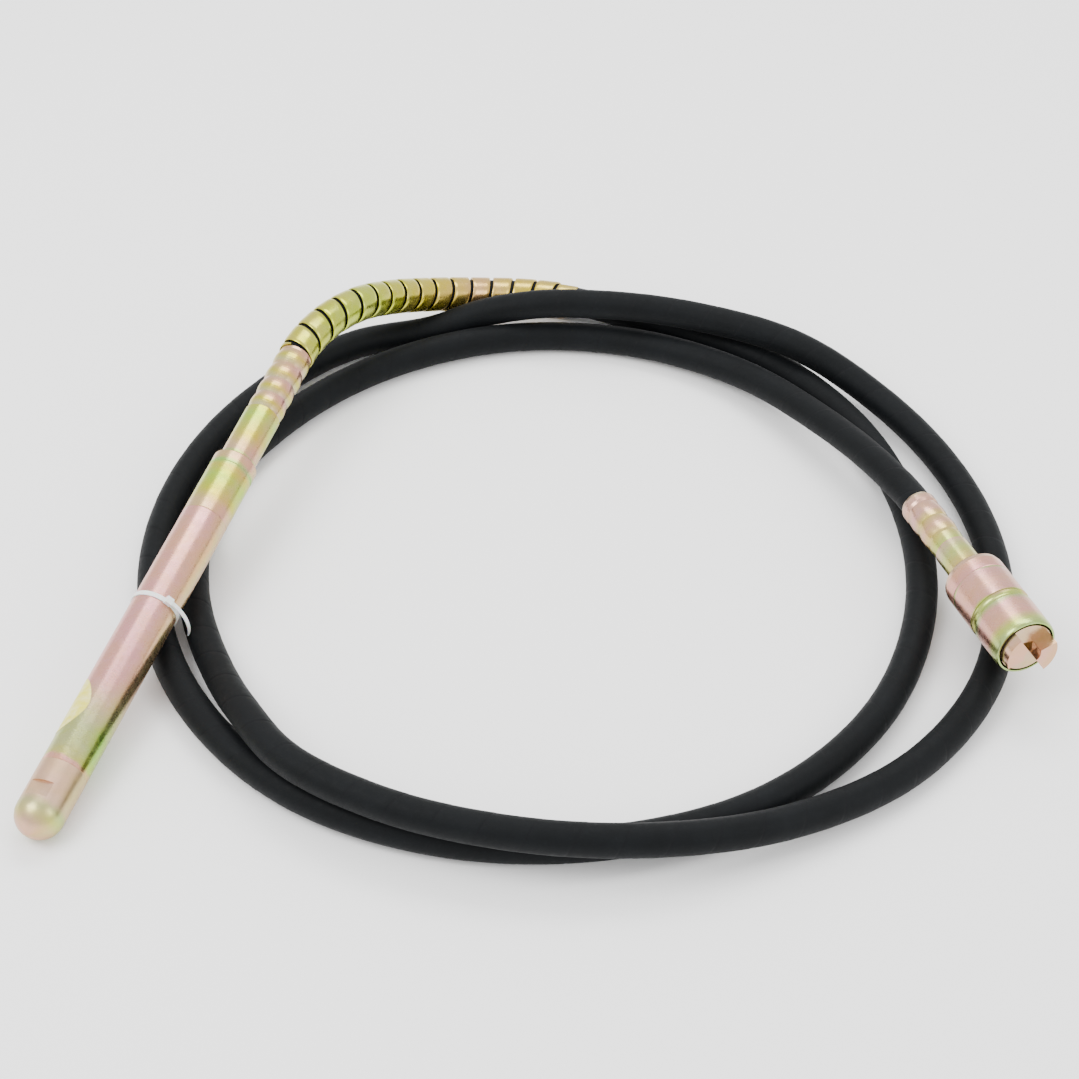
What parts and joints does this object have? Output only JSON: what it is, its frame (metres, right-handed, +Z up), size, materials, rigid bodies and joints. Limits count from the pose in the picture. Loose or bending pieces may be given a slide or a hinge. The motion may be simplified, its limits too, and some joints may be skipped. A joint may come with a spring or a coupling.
{
  "type": "flexible shaft concrete vibrator",
  "caption": "Round steel vibrating head on a long flexible rubber hose with a spiral bend guard, ending in a round claw coupling for a drive unit.",
  "frame": {"origin": "middle of the base of the rigid pieces' box (head, bend guard and coupling), on the ground the tool lies on", "axes": "+Z up, +X to the right from the head towards the coupling, +Y away, from the head's nose towards its hose"},
  "size_m": [0.9231, 0.826, 0.1222],
  "materials": {
    "zinc_plate": "yellow and pink iridescent zinc plating, satin to bright",
    "machined_steel": "ground and turned bearing steel",
    "hose_rubber": "matt black rubber with faint spiral cloth-wrap seams",
    "seal_rubber": "smooth black nitrile",
    "nylon": "natural white nylon, slightly translucent",
    "label": "glossy film sticker, blank"
  },
  "bodies": {
    "casing": {"nose_cap": "zinc_plate", "head_tube": "zinc_plate", "head_collar": "zinc_plate", "nose_o_ring": "seal_rubber", "collar_o_ring": "seal_rubber", "head_label": "label", "cable_tie": "nylon", "head_neck": "zinc_plate", "head_ferrule": "zinc_plate", "bend_guard": "zinc_plate", "hose": "hose_rubber", "hose_liner": "machined_steel", "flexible_core": "machined_steel", "front_bearing_outer": "machined_steel", "front_bearing_balls": "machined_steel", "rear_bearing_outer": "machined_steel", "rear_bearing_balls": "machined_steel", "bearing_spacer": "machined_steel", "oil_seal": "seal_rubber", "drive_ferrule": "zinc_plate", "drive_neck": "zinc_plate", "coupling_rear_cap": "zinc_plate", "coupling_barrel": "zinc_plate", "dog_bearing_outer": "machined_steel", "dog_bearing_balls": "machined_steel", "barrel_circlip": "machined_steel"},
    "drive_dog": {"claw_dog": "zinc_plate", "dog_shaft": "machined_steel", "dog_bearing_inner": "machined_steel", "dog_bearing_sleeve": "machined_steel", "shaft_nut": "machined_steel", "core_tip_drive": "machined_steel"},
    "head_spindle": {"spindle": "machined_steel", "flex_joint": "seal_rubber", "front_bearing_inner": "machined_steel", "rear_bearing_inner": "machined_steel", "spindle_circlip": "machined_steel", "core_tip_head": "machined_steel"},
    "head_pendulum": {"pendulum": "machined_steel"}
  },
  "joints": [
    {"name": "dog_spin", "type": "hinge", "parent": "casing", "child": "drive_dog", "pos_m": [0.432, -0.205, 0.066], "axis": [-0.3332, 0.9409, -0.061], "continuous": true},
    {"name": "spindle_spin", "type": "hinge", "parent": "casing", "child": "head_spindle", "pos_m": [-0.38317, -0.19892, 0.04669], "axis": [-0.3258, -0.9356, -0.1357], "continuous": true},
    {"name": "pendulum_whirl", "type": "hinge", "parent": "casing", "child": "head_pendulum", "pos_m": [-0.38968, -0.21764, 0.04398], "axis": [-0.3258, -0.9356, -0.1357], "continuous": true}
  ],
  "couplings": [
    {"joint": "spindle_spin", "follows": "dog_spin", "ratio": 1},
    {"joint": "pendulum_whirl", "follows": "dog_spin", "ratio": -4}
  ]
}
